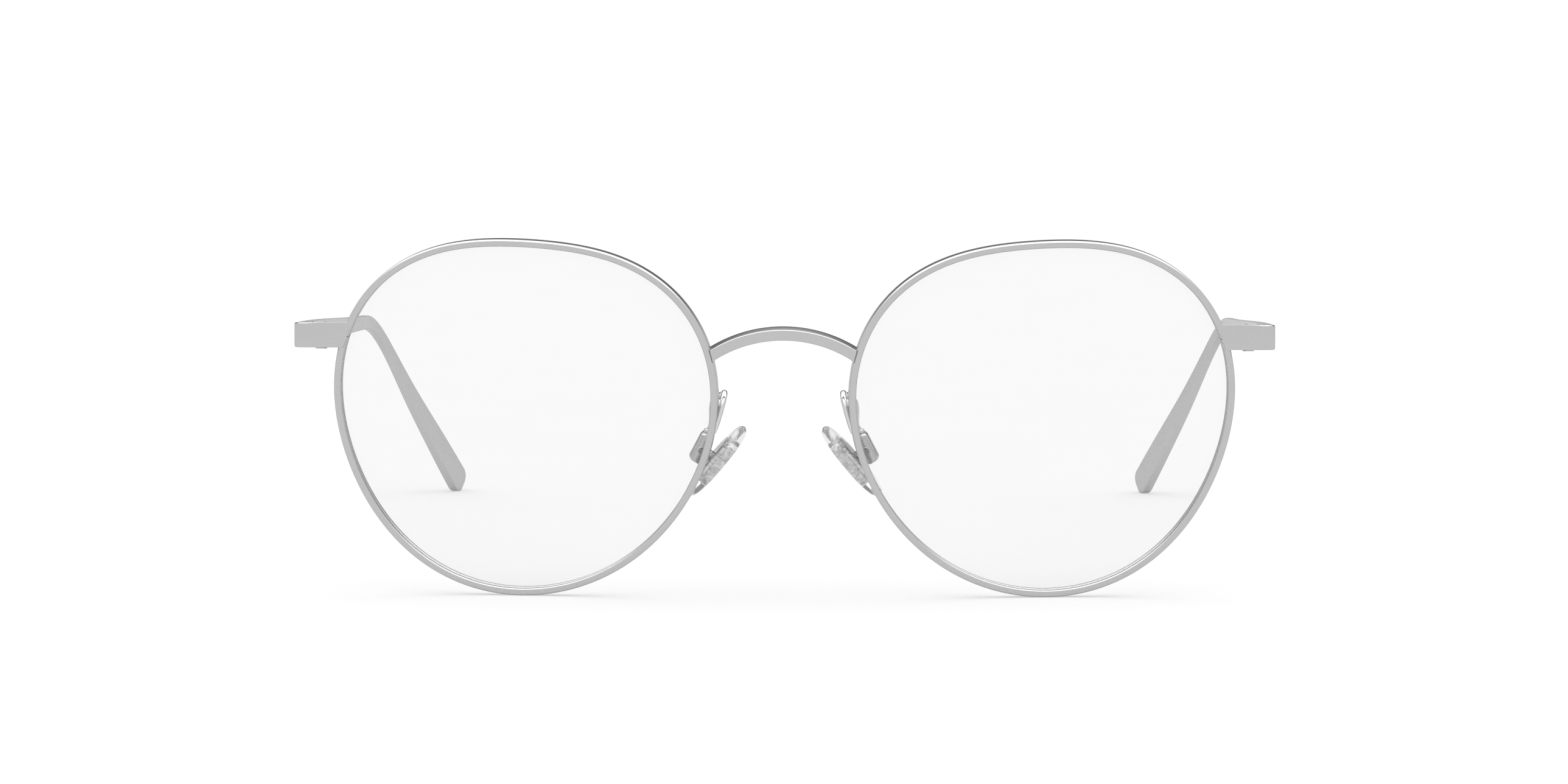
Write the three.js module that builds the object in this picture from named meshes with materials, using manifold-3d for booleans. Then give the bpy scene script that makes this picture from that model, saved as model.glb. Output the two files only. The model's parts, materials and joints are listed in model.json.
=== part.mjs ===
// Round wire eyeglasses: a thin metal frame with two clear lenses, nose pads and folding temples.
// Millimetres and degrees. +Z is up, the front faces -Y and the temples run towards +Y.
// "Left" and "right" are the wearer's: left is +X. Everything beside the bridge is made once, for the left
// side, and the right side is its mirror image.
// The pieces are laid out in the wearing frame: its origin is level with the temples, midway between them,
// at the depth where the end pieces meet the rims. At the end the glasses are set down on their rims and
// temple tips.
import * as THREE from "three";
import { mergeVertices } from "three/addons/utils/BufferGeometryUtils.js";
import Module from "manifold-3d";

const wasm = await Module();
wasm.setup();

// ---- Driving dimensions ----
const lens = { width: 50.4, height: 46.9, curveRadius: 130, thickness: 1.5, bevel: 0.6 };
const lensGap = 18.6; // between the two lenses, across the nose
// How the lens outline departs from a circle, as shares of its radius.
const outlineShape = { lift: 0.035, oval: 0.04, lean: 0.003, skew: -0.009, egg: 0.036, square: -0.011 };
const faceWrap = 5; // each lens turns back this far at its outer side
const lensTilt = 8.15; // the lenses lean forward at the top, against the temples
const rim = { lip: 0.4, wall: 0.55, depth: 1.9, outerChamfer: 0.16, innerChamfer: 0.08 };
const grooveHalf = (rim.lip * lens.thickness) / (2 * lens.bevel); // slopes as the lens's edge does
const solderGap = 0.03; // between pieces that are brazed together
const lensGapInGroove = 0.04;
const slipGap = 0.05; // between pieces that turn on each other

const pastLens = 5.6; // the end piece stands out this far past the lens
const frameWidth = lensGap + 2 * (lens.width + pastLens);
const endPiece = {
  aboveLensCentre: 10.66,
  height: 3.35,
  thickness: 1.25,
  proud: 0.2, // stands this far in front of the rim
  cornerRadius: 1.7,
  edge: 0.14, // broken edges
  rimShown: 0.2, // of the rim's face, inside the plate's end
};
const hingeBack = 7; // hinge axis behind the rim, at the end piece
const hinge = { barrelRadius: 1.05, axisInset: 1.4, height: 2.4, leaf: 0.45, leafLength: 3.4 };
const hingeScrew = { shaftRadius: 0.55, headRadius: 0.95, headHeight: 0.4 };
const closing = { width: 4.2, depth: 2.1, height: 1.25, slit: 0.25, screwOut: 2.95 };
const closingScrew = { shaftRadius: 0.5, headRadius: 0.8, headHeight: 0.45 };
const screwSlot = { width: 0.25, depth: 0.22 };

const bridge = {
  rise: 3.1,
  endsAboveLensCentre: 8.65,
  height: 1.5,
  depth: 2.1,
  lean: 6, // its top is turned to the front
  chamfer: 0.2,
  forward: 0.3, // its middle stands ahead of its ends
};

const templeLength = 145; // along the temple, from the hinge axis to the tip
const temple = {
  straight: templeLength - 55.5, // from the hinge axis to the start of the ear bend
  bendLength: 33,
  bendDrop: 44, // downwards angle of the ear piece
  splay: 0.4, // stands out this far at the ear bend
  tipIn: 13, // the tip comes in this far from the ear bend
  heightAtBend: 2.1,
  thicknessAtBend: 1,
  heightAtTip: 4,
  thicknessAtTip: 1.5,
};

const pad = { length: 11.9, width: 7, thickness: 2.1, slope: 40, splay: 3 };
const padCentre = { x: 9.05, belowLensCentre: 6.4, behindRim: 4.4 };
const padPivotOut = 2.5; // from the middle of the pad to the screw it rocks on
const padInsert = { length: 6.6, width: 4.2, thickness: 0.5, postWidth: 1.3, pastPivot: 0.55 };
const padHolder = {
  length: 4.1,
  abovePivot: 2.25, // from the screw to the top end
  towardsPad: 0.6, // from the screw to the open side
  pastPivot: 1.2, // from the screw to the back
  depth: 2.6,
  sheet: 0.4,
  cornerRadius: 0.55,
  slope: 28,
};
const padScrew = { shaftRadius: 0.36, headRadius: 0.62, headHeight: 0.3 };
const padArm = { wireRadius: 0.43 };

const rad = THREE.MathUtils.degToRad;
const v2 = (x, y) => new THREE.Vector2(x, y);
const v3 = (x, y, z) => new THREE.Vector3(x, y, z);

// ---- Solids ----
function toSolid(geometry) {
  const bare = new THREE.BufferGeometry().setAttribute("position", geometry.getAttribute("position"));
  if (geometry.index) bare.setIndex(geometry.index);
  const merged = mergeVertices(bare, 1e-4);
  const vertProperties = new Float32Array(merged.getAttribute("position").array);
  const triVerts = new Uint32Array(merged.index.array);
  return new wasm.Manifold(new wasm.Mesh({ numProp: 3, vertProperties, triVerts }));
}

function toGeometry(solid) {
  const mesh = solid.getMesh();
  const geometry = new THREE.BufferGeometry();
  geometry.setAttribute("position", new THREE.BufferAttribute(new Float32Array(mesh.vertProperties), 3));
  geometry.setIndex(new THREE.BufferAttribute(new Uint32Array(mesh.triVerts), 1));
  return geometry;
}

const cut = (geometry, ...tools) =>
  toGeometry(tools.reduce((left, tool) => left.subtract(toSolid(tool)), toSolid(geometry)));
const join = (geometry, ...others) =>
  toGeometry(others.reduce((whole, other) => whole.add(toSolid(other)), toSolid(geometry)));

// Extrudes a section along 0..1 and moves each of its points (x, y, along) with place().
function sweep(section, steps, place) {
  const options = { depth: 1, steps, bevelEnabled: false };
  const geometry = new THREE.ExtrudeGeometry(new THREE.Shape(section), options);
  return moved(geometry, (p) => place(p.x, p.y, p.z));
}

function moved(geometry, place) {
  const position = geometry.getAttribute("position");
  for (let i = 0; i < position.count; i++) {
    const p = place(v3(0, 0, 0).fromBufferAttribute(position, i));
    position.setXYZ(i, p.x, p.y, p.z);
  }
  return geometry;
}

const box = (x, y, z, at) => new THREE.BoxGeometry(x, y, z).translate(at.x, at.y, at.z);
// A round bar along Z, from bottom to top.
function bar(radius, bottom, top, at, sides = 16) {
  const geometry = new THREE.CylinderGeometry(radius, radius, top - bottom, sides).rotateX(Math.PI / 2);
  return geometry.translate(at.x, at.y, (top + bottom) / 2);
}

// A rectangle with its corners cut off, x wide and y high.
function chamferedBar(x, y, c) {
  const [a, b] = [x / 2, y / 2];
  const quarter = [v2(a, b - c), v2(a - c, b)];
  const half = [...quarter, ...quarter.map((p) => v2(-p.x, p.y)).reverse()];
  return [...half, ...half.map((p) => p.clone().negate())];
}

// ---- Lens outline ----
function radiusShare(angle) {
  const s = outlineShape;
  return (
    1 + s.lift * Math.sin(angle) + s.oval * Math.cos(2 * angle) + s.lean * Math.sin(2 * angle) +
    s.skew * Math.cos(3 * angle) + s.egg * Math.sin(3 * angle) + s.square * Math.cos(4 * angle)
  );
}

const rawOutline = (angle) => v2(Math.cos(angle), Math.sin(angle)).multiplyScalar(radiusShare(angle));
const rawPoints = Array.from({ length: 720 }, (_, i) => rawOutline(rad(i / 2)));
const rawBox = new THREE.Box2().setFromPoints(rawPoints);
const rawSize = rawBox.getSize(v2());
const rawCentre = rawBox.getCenter(v2());

// The lens edge at an angle, seen from the front: x towards the temple and y up, from the lens's centre.
const outline = (angle) =>
  rawOutline(angle).sub(rawCentre).multiply(v2(lens.width / rawSize.x, lens.height / rawSize.y));

function outlineTangent(angle) {
  const step = 1e-4;
  return outline(angle + step).sub(outline(angle - step)).normalize();
}

function outlineNormal(angle) {
  const t = outlineTangent(angle);
  return v2(t.y, -t.x);
}

// How far the lens curve has gone back at a point of the outline's plane.
const sag = (x, z) => (x * x + z * z) / (2 * lens.curveRadius);

// The angle at which the outline is at a height, on its outer side (towards the temple) or its nose side.
function angleAtHeight(height, outer = true) {
  let [low, high] = outer ? [rad(-70), rad(70)] : [rad(250), rad(110)];
  for (let i = 0; i < 40; i++) {
    const middle = (low + high) / 2;
    if (outline(middle).y < height) low = middle;
    else high = middle;
  }
  return (low + high) / 2;
}

// ---- The eye's frame inside the wearing frame ----
const eyeCentreX = (lensGap + lens.width) / 2;
const attachAngle = angleAtHeight(endPiece.aboveLensCentre);
const attach = outline(attachAngle);
const eyeTurn = new THREE.Matrix4().makeRotationZ(rad(faceWrap));
const attachDepth = v3(attach.x, sag(attach.x, attach.y), attach.y).applyMatrix4(eyeTurn).y;
const frontFrame = new THREE.Matrix4().makeRotationX(rad(lensTilt));
const eyeFrame = frontFrame
  .clone()
  .multiply(new THREE.Matrix4().makeTranslation(eyeCentreX, -attachDepth, -endPiece.aboveLensCentre))
  .multiply(eyeTurn);

// A point of the eye's own frame: on the lens curve at a place of the outline's plane, and deeper by back.
const onLensCurve = (p, back = 0) => v3(p.x, sag(p.x, p.y) + back, p.y);

// Sweeps a section (outwards, back) round the lens outline, from one angle to another.
function alongRim(section, from, to, steps) {
  return sweep(section, steps, (out, back, along) => {
    const angle = from + along * (to - from);
    const edge = outline(angle);
    const p = edge.clone().addScaledVector(outlineNormal(angle), out);
    return v3(p.x, sag(edge.x, edge.y) + back, p.y);
  }).applyMatrix4(eyeFrame);
}

// A disc of the lens's outline, from the profile (radius, depth) of a round lens of the same width.
function eyeDisc(profile, segments) {
  const half = lens.width / 2;
  const rings = profile.map(([x, y]) => v2(x, y));
  const geometry = new THREE.LatheGeometry(rings, segments);
  return moved(geometry, (p) => {
    const r = Math.hypot(p.x, p.z);
    const angle = Math.atan2(p.z, p.x);
    const edge = outline(angle);
    if (half - r > 2) return onLensCurve(edge.multiplyScalar(r / half), p.y);
    const place = edge.clone().addScaledVector(outlineNormal(angle), r - half);
    return v3(place.x, sag(edge.x, edge.y) + p.y, place.y);
  }).applyMatrix4(eyeFrame);
}

function rimSection(grow = 0) {
  const { lip, wall, depth, outerChamfer: co, innerChamfer: ci } = rim;
  const h = depth / 2 + grow;
  const [inner, outer] = [-lip - grow, wall + grow];
  if (grow) return [v2(inner, -h), v2(outer, -h), v2(outer, h), v2(inner, h)];
  const innerEdge = [v2(inner, -grooveHalf), v2(inner, -h + ci), v2(inner + ci, -h)];
  const front = [...innerEdge, v2(outer - co, -h), v2(outer, -h + co)];
  const back = front.map((p) => v2(p.x, -p.y)).reverse();
  return [v2(0, 0), ...front, ...back];
}

// A thick slab of the lens's outline, grown by a distance, for cutting what meets the rim.
function eyeSlab(grow) {
  const reach = 6;
  const r = lens.width / 2 + grow;
  return eyeDisc([[0, -reach], [r - 1, -reach], [r, -reach], [r, reach], [r - 1, reach], [0, reach]], 96);
}
const insideOfRim = () => eyeSlab(rim.wall + solderGap);

function rimGeometry() {
  const half = closing.slit / 2 / attach.length();
  return alongRim(rimSection(), attachAngle + half, attachAngle + 2 * Math.PI - half, 80);
}

// The stretch of rim behind the end piece, grown by the gap of a brazed joint.
const rimNearby = () => alongRim(rimSection(solderGap), attachAngle - 0.3, attachAngle + 0.3, 20);

function lensGeometry() {
  const edge = lens.width / 2 - lensGapInGroove;
  const half = lens.thickness / 2;
  const shoulder = edge - lens.bevel;
  const front = [[0, -half], [shoulder * 0.6, -half], [shoulder, -half]];
  const back = front.map(([r, depth]) => [r, -depth]).reverse();
  return eyeDisc([...front, [edge, 0], ...back], 56);
}

// ---- Bridge ----
function bridgeGeometry() {
  const angle = angleAtHeight(bridge.endsAboveLensCentre, false);
  const end = onLensCurve(outline(angle)).applyMatrix4(eyeTurn);
  const reach = eyeCentreX + end.x;
  const endPoint = v3(0, end.y - attachDepth, bridge.endsAboveLensCentre - endPiece.aboveLensCentre);
  const arcRadius = (reach ** 2 + bridge.rise ** 2) / (2 * bridge.rise);
  const halfAngle = Math.asin(reach / arcRadius);
  const lean = rad(bridge.lean);
  const blank = sweep(chamferedBar(bridge.height, bridge.depth, bridge.chamfer), 24, (up, back, along) => {
    const turn = (1 - 2 * along) * halfAngle;
    const radial = up * Math.cos(lean) + back * Math.sin(lean);
    const depth = back * Math.cos(lean) - up * Math.sin(lean);
    const r = arcRadius + radial;
    const rise = (Math.cos(turn) - Math.cos(halfAngle)) * arcRadius / bridge.rise;
    return v3(
      r * Math.sin(turn),
      endPoint.y + depth - bridge.forward * rise,
      endPoint.z + r * Math.cos(turn) - arcRadius + bridge.rise,
    );
  }).applyMatrix4(frontFrame);
  const left = toSolid(insideOfRim());
  const right = left.mirror([1, 0, 0]);
  return toGeometry(toSolid(blank).subtract(left).subtract(right));
}

// ---- End piece, closing blocks and hinge ----
const armOuterX = frameWidth / 2;
const armInnerX = armOuterX - endPiece.thickness;
const axis = v3(armInnerX - hinge.axisInset, hingeBack, 0);
const plateFrontY = -rim.depth / 2 - endPiece.proud;
const rimAttach = onLensCurve(attach).applyMatrix4(eyeFrame);

function endPieceGeometry() {
  const { thickness, cornerRadius, edge, height, rimShown } = endPiece;
  const [front, innerX] = [plateFrontY + edge, rimAttach.x - 4];
  const outer = armOuterX - edge;
  const inner = armInnerX + edge;
  const innerRadius = cornerRadius - thickness;
  const plan = new THREE.Shape();
  plan.moveTo(innerX, front);
  plan.lineTo(outer - cornerRadius, front);
  plan.absarc(outer - cornerRadius, front + cornerRadius, cornerRadius, -Math.PI / 2, 0);
  plan.lineTo(outer, axis.y - edge);
  plan.lineTo(inner, axis.y - edge);
  const back = front + thickness - 2 * edge;
  plan.lineTo(inner, back + innerRadius);
  plan.absarc(inner - innerRadius, back + innerRadius, innerRadius, 0, -Math.PI / 2, true);
  plan.lineTo(innerX, back);
  plan.closePath();
  const depth = height - 2 * edge;
  const blank = new THREE.ExtrudeGeometry(plan, {
    depth, curveSegments: 8, bevelEnabled: true, bevelThickness: edge, bevelSize: edge, bevelSegments: 1,
  }).translate(0, 0, -depth / 2);
  return cut(blank, rimNearby(), eyeSlab(rimShown - rim.lip));
}

const closingY = plateFrontY + endPiece.thickness + solderGap + closing.depth / 2;
const closingScrewAt = v2(rimAttach.x + rim.wall + closing.screwOut, closingY);

// One of the two blocks that hold the rim's ends together: side is 1 for the upper and -1 for the lower.
function closingBlockGeometry(side) {
  const { width, depth, height, slit } = closing;
  const z = side * (slit / 2 + height / 2);
  const intoRim = 1;
  const section = new THREE.Shape(chamferedBar(width + intoRim, depth, 0.25));
  const block = new THREE.ExtrudeGeometry(section, { depth: height, bevelEnabled: false });
  block.translate(rimAttach.x + rim.wall + (width - intoRim) / 2, closingY, z - height / 2);
  const bore = bar(closingScrew.shaftRadius + slipGap, z - height, z + height, closingScrewAt);
  return cut(block, rimNearby(), insideOfRim(), bore);
}

// A screw along Z: its shaft from bottom to top, and on it a slotted head.
function slottedScrew({ shaftRadius, headRadius, headHeight }, bottom, top, at) {
  const shaft = bar(shaftRadius, bottom, top, at, 12);
  const head = bar(headRadius, top - 0.001, top + headHeight, at, 16);
  const slotAt = v3(at.x, at.y, top + headHeight);
  const slot = box(2.2 * headRadius, screwSlot.width, 2 * screwSlot.depth, slotAt);
  return cut(join(shaft, head), slot);
}

function closingScrewGeometry() {
  const reach = closing.slit / 2 + closing.height;
  const screw = slottedScrew(closingScrew, -reach, reach + solderGap, closingScrewAt);
  return screw.applyMatrix4(new THREE.Matrix4().makeRotationX(Math.PI).setPosition(0, 2 * closingY, 0));
}

// A hinge leaf: a plate on the arm's inner face and its barrels round the hinge axis.
// towards is -1 for the front leaf, which lies ahead of the axis, and 1 for the temple's.
function hingeLeafGeometry(towards, barrels) {
  const { barrelRadius, leaf, leafLength, height } = hinge;
  const plateX = armInnerX - solderGap - leaf / 2;
  const near = barrelRadius + slipGap;
  const plate = box(leaf, leafLength, height, v3(plateX, axis.y + towards * (near + leafLength / 2), 0));
  const webLength = near + 0.5;
  const pieces = barrels.flatMap(([low, high]) => {
    const webAt = v3(plateX - leaf * 0.3, axis.y + (towards * webLength) / 2, (low + high) / 2);
    return [bar(barrelRadius, low, high, axis), box(leaf * 1.6, webLength, high - low, webAt)];
  });
  const bore = bar(hingeScrew.shaftRadius + slipGap, -height, height, axis, 12);
  return cut(join(plate, ...pieces), bore);
}

function hingeScrewGeometry() {
  return slottedScrew(hingeScrew, -hinge.height / 2, hinge.height / 2 + slipGap, axis);
}

// ---- Temple ----
// The temple runs straight back, then bends down and in behind the ear.
const smooth = (t) => t * t * (3 - 2 * t);
const share = (x, from, to) => THREE.MathUtils.clamp((x - from) / (to - from), 0, 1);

// Distances along the temple at which it has a section: close together in the bend and round the tip.
function templeStations() {
  const { straight, bendLength, heightAtTip } = temple;
  const roundFrom = templeLength - heightAtTip / 2;
  const spread = (from, to, count) =>
    Array.from({ length: count }, (_, i) => THREE.MathUtils.lerp(from, to, i / count));
  const tipSteps = 7;
  const round = Array.from({ length: tipSteps }, (_, i) => {
    return roundFrom + (templeLength - roundFrom) * Math.sin(((i / tipSteps) * Math.PI) / 2);
  });
  return [
    ...spread(0, straight - 15, 5),
    ...spread(straight - 15, straight + bendLength + 8, 26),
    ...spread(straight + bendLength + 8, roundFrom, 8),
    ...round,
  ];
}

// The direction of the temple at a distance along it.
function templeDirection(s) {
  const { straight, bendLength, bendDrop, splay, tipIn } = temple;
  const down = rad(bendDrop) * smooth(share(s, straight, straight + bendLength));
  const turnOut = (splay / straight) * (1 - smooth(share(s, straight - 15, straight + 5)));
  const turnedIn = smooth(share(s, straight - 5, straight + bendLength + 8));
  const turnIn = ((1.35 * tipIn) / (templeLength - straight)) * turnedIn;
  const side = Math.atan(turnOut - turnIn);
  return v3(Math.sin(side), Math.cos(side) * Math.cos(down), -Math.cos(side) * Math.sin(down));
}

function templeFrames() {
  const p = v3(armOuterX - endPiece.thickness / 2, axis.y + slipGap, 0);
  let walked = 0;
  return templeStations().map((s) => {
    const strides = Math.ceil((s - walked) / 0.5);
    const stride = (s - walked) / strides;
    for (let i = 0; i < strides; i++) {
      p.addScaledVector(templeDirection(walked + stride * (i + 0.5)), stride);
    }
    walked = s;
    const t = templeDirection(s);
    const inwards = v3(-t.y, t.x, 0).normalize();
    return { s, at: p.clone(), inwards, up: t.clone().cross(inwards) };
  });
}

function templeGeometry() {
  const frames = templeFrames();
  const { straight, bendLength } = temple;
  const roundFrom = templeLength - temple.heightAtTip / 2;
  return sweep(chamferedBar(1, 1, 0.14), frames.length - 1, (across, up, along) => {
    const f = frames[Math.round(along * (frames.length - 1))];
    const toBend = smooth(share(f.s, 5, straight));
    const toTip = smooth(share(f.s, straight + bendLength * 0.6, roundFrom + 3));
    const atBend = v2(temple.thicknessAtBend, temple.heightAtBend);
    const size = v2(endPiece.thickness, endPiece.height).lerp(atBend, toBend);
    size.lerp(v2(temple.thicknessAtTip, temple.heightAtTip), toTip);
    const end = Math.sqrt(1 - share(f.s, roundFrom, templeLength) ** 2);
    const point = f.at.clone().addScaledVector(f.inwards, across * size.x * (0.4 + 0.6 * end));
    return point.addScaledVector(f.up, up * size.y * end);
  });
}

// ---- Nose pads ----
// A pad's own frame: x down along the pad, y from its nose face to its back, z towards the front.
function noseFrame(slope, at) {
  const along = v3(Math.sin(rad(slope)), 0, -Math.cos(rad(slope)));
  const out = v3(Math.cos(rad(slope)), 0, Math.sin(rad(slope)));
  const turn = new THREE.Matrix4().makeRotationZ(rad(-pad.splay));
  return new THREE.Matrix4()
    .makeTranslation(at.x, at.y, at.z)
    .multiply(turn)
    .multiply(new THREE.Matrix4().makeBasis(along, out, v3(0, -1, 0)));
}

// A place by the nose: x from the middle, above the lens centre and behind the rim's back at its nose side.
const rimAtNose = onLensCurve(outline(angleAtHeight(0, false))).applyMatrix4(eyeTurn);
const rimBackY = rimAtNose.y - attachDepth + rim.depth / 2;
const byNose = (x, above, behind) => v3(x, rimBackY + behind, above - endPiece.aboveLensCentre);

const padAt = byNose(padCentre.x, -padCentre.belowLensCentre, padCentre.behindRim);
const padLocal = noseFrame(pad.slope, padAt);
const padFrame = frontFrame.clone().multiply(padLocal);
const padPivot = v3(0, padPivotOut, 0);
const holderLocal = noseFrame(padHolder.slope, padPivot.clone().applyMatrix4(padLocal));
const holderFrame = frontFrame.clone().multiply(holderLocal);

// An oval disc about the pad's y axis, from a profile of (share of the half length and half width, y).
function ovalDisc(profile, length, width, segments) {
  const geometry = new THREE.LatheGeometry(profile.map(([x, y]) => v2(x, y)), segments);
  return moved(geometry, (p) => v3((p.x * length) / 2, p.y, (p.z * width) / 2));
}

// The plate moulded into the pad, with its post; grown by a gap it is the room the pad leaves for them.
function padInsertShape(gap = 0) {
  const { length, width, thickness, postWidth, pastPivot } = padInsert;
  const h = thickness / 2 + gap;
  const plate = ovalDisc([[0, -h], [1, -h], [1, h], [0, h]], length + 2 * gap, width + 2 * gap, 28);
  const postThickness = padHolder.depth - 2 * padHolder.sheet - 2 * slipGap;
  const top = padPivotOut + pastPivot;
  return join(plate, box(postWidth + 2 * gap, top, postThickness + 2 * gap, v3(0, top / 2, 0)));
}

function padInsertGeometry() {
  const eye = bar(padScrew.shaftRadius + slipGap, -5, 5, padPivot, 12);
  return cut(padInsertShape(), eye).applyMatrix4(padFrame);
}

function padGeometry() {
  const h = pad.thickness / 2;
  const noseSide = [[0, -h], [0.5, -h], [0.8, -h * 0.78], [0.96, -h * 0.3]];
  const backSide = [[1, h * 0.1], [0.93, h * 0.6], [0.75, h], [0, h]];
  const body = ovalDisc([...noseSide, ...backSide], pad.length, pad.width, 32);
  return cut(body, padInsertShape(slipGap)).applyMatrix4(padFrame);
}

// The holder that the pad's post sits in: a cup of sheet, open towards the pad and at its lower end.
function padHolderGeometry() {
  const { length, abovePivot, towardsPad, pastPivot, depth, sheet, cornerRadius: r } = padHolder;
  const [left, right, low, high] = [-abovePivot, length - abovePivot, -towardsPad, pastPivot];
  const side = new THREE.Shape();
  side.moveTo(left + r, low);
  side.absarc(right - r, low + r, r, -Math.PI / 2, 0);
  side.absarc(right - r, high - r, r, 0, Math.PI / 2);
  side.absarc(left + r, high - r, r, Math.PI / 2, Math.PI);
  side.absarc(left + r, low + r, r, Math.PI, 1.5 * Math.PI);
  const outer = new THREE.ExtrudeGeometry(side, { depth, bevelEnabled: false, curveSegments: 5 });
  outer.translate(0, 0, -depth / 2);
  const reach = 2 * length;
  const insideAt = v3(left + sheet + reach / 2, high - sheet - reach / 2, 0);
  const inside = box(reach, reach, depth - 2 * sheet, insideAt);
  const bore = bar(padScrew.shaftRadius + slipGap, -5, 5, v2(0, 0), 12);
  return cut(outer, inside, bore).applyMatrix4(holderFrame);
}

function padScrewGeometry() {
  const reach = padHolder.depth / 2;
  return slottedScrew(padScrew, -reach, reach + solderGap, v2(0, 0)).applyMatrix4(holderFrame);
}

// The wire from the rim up, back over a U bend and down to the top of the pad's holder.
function padArmGeometry() {
  const holderTop = -padHolder.abovePivot - solderGap;
  const onHolder = (above) => v3(holderTop - above, 0.4, 0).applyMatrix4(holderFrame);
  const rise = [[9.4, -1.9, -0.75], [8.7, 0.1, -0.4], [8.1, 2.1, 0.4]];
  const loop = [...rise, [7.9, 3.1, 1.5], [8.1, 3, 2.7], [9.5, 1.5, 3.9]];
  const curve = new THREE.CatmullRomCurve3([
    ...loop.map(([x, above, behind]) => byNose(x, above, behind).applyMatrix4(frontFrame)),
    onHolder(1.3),
    onHolder(0),
  ]);
  const ring = Array.from({ length: 10 }, (_, i) => v2(Math.cos(rad(36 * i)), Math.sin(rad(36 * i))));
  const section = new THREE.Shape(ring.map((p) => p.multiplyScalar(padArm.wireRadius)));
  const blank = new THREE.ExtrudeGeometry(section, { steps: 32, extrudePath: curve });
  return cut(blank, insideOfRim());
}

// ---- Assembly ----
const metal = (color, roughness) => new THREE.MeshStandardMaterial({ color, metalness: 1, roughness });
const satinSilver = metal(0xc4c6c8, 0.35);
const brightSilver = metal(0xd5d7da, 0.18);
const screwSteel = metal(0xb9bbbe, 0.25);
const clear = (color, roughness, opacity) =>
  new THREE.MeshStandardMaterial({ color, metalness: 0, roughness, transparent: true, opacity });
const clearLens = clear(0xf4f6f6, 0.02, 0.2);
const clearPad = clear(0xeef0f0, 0.15, 0.4);

const leafEnd = hinge.height / 2;
const knuckle = leafEnd / 3;
const frontKnuckles = [[-leafEnd, -knuckle - slipGap], [knuckle + slipGap, leafEnd]];
const sidePieces = {
  rim: [rimGeometry(), satinSilver],
  lens: [lensGeometry(), clearLens],
  end_piece: [endPieceGeometry(), satinSilver],
  closing_block_upper: [closingBlockGeometry(1), satinSilver],
  closing_block_lower: [closingBlockGeometry(-1), satinSilver],
  closing_screw: [closingScrewGeometry(), screwSteel],
  hinge_front_leaf: [hingeLeafGeometry(-1, frontKnuckles), brightSilver],
  hinge_temple_leaf: [hingeLeafGeometry(1, [[-knuckle, knuckle]]), brightSilver],
  hinge_screw: [hingeScrewGeometry(), screwSteel],
  temple: [templeGeometry(), satinSilver],
  pad_arm: [padArmGeometry(), brightSilver],
  pad_holder: [padHolderGeometry(), brightSilver],
  pad_screw: [padScrewGeometry(), screwSteel],
  nose_pad: [padGeometry(), clearPad],
  pad_insert: [padInsertGeometry(), brightSilver],
};

const wearing = new THREE.Group();
for (const [side, mirror] of [["left", 1], ["right", -1]]) {
  const half = new THREE.Group();
  half.scale.x = mirror;
  for (const [name, [geometry, material]] of Object.entries(sidePieces)) {
    const mesh = new THREE.Mesh(geometry, material);
    mesh.name = `${name}_${side}`;
    half.add(mesh);
  }
  wearing.add(half);
}
const bridgeMesh = new THREE.Mesh(bridgeGeometry(), satinSilver);
bridgeMesh.name = "bridge";
wearing.add(bridgeMesh);

// The lowest point of a geometry once the glasses are turned by an angle about X.
function lowest(geometry, turn) {
  const matrix = new THREE.Matrix4().makeRotationX(turn);
  const position = geometry.getAttribute("position");
  let low = Infinity;
  for (let i = 0; i < position.count; i++) {
    low = Math.min(low, v3(0, 0, 0).fromBufferAttribute(position, i).applyMatrix4(matrix).z);
  }
  return low;
}

// Sets the glasses down: turned about X until rims and temple tips touch one table, which is z = 0.
let [flat, steep] = [rad(-20), rad(20)];
for (let i = 0; i < 40; i++) {
  const turn = (flat + steep) / 2;
  if (lowest(sidePieces.temple[0], turn) > lowest(sidePieces.rim[0], turn)) steep = turn;
  else flat = turn;
}
wearing.rotation.x = (flat + steep) / 2;

const glasses = new THREE.Group();
glasses.add(wearing);
const bounds = new THREE.Box3().setFromObject(glasses, true);
const middle = bounds.getCenter(v3(0, 0, 0));
wearing.position.set(-middle.x, -middle.y, -bounds.min.z);

export default glasses;
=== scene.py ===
import json
import math
import bmesh
import bpy
from mathutils import Matrix, Vector


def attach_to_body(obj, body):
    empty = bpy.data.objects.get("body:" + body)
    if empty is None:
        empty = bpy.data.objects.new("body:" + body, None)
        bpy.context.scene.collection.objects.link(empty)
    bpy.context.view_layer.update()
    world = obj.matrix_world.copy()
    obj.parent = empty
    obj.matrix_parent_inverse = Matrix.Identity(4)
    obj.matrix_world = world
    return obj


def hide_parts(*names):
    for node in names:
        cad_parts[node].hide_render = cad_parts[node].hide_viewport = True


# Round wire eyeglasses: the looks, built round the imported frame.
# Shapes are in millimetres in the wearing frame, which is level with the temples.
# "left" is the wearer's left, +X.

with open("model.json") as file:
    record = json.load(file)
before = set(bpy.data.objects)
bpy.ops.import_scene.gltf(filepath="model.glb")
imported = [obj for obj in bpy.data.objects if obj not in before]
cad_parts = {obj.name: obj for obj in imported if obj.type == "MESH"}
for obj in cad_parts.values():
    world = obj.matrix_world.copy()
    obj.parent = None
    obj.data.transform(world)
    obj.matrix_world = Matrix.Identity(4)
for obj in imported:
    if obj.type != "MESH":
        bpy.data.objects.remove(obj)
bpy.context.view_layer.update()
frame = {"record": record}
joints = {joint["name"]: joint for joint in frame["record"]["behaviour"]["joints"]}
print("frame loaded")

mm = 0.001

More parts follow.
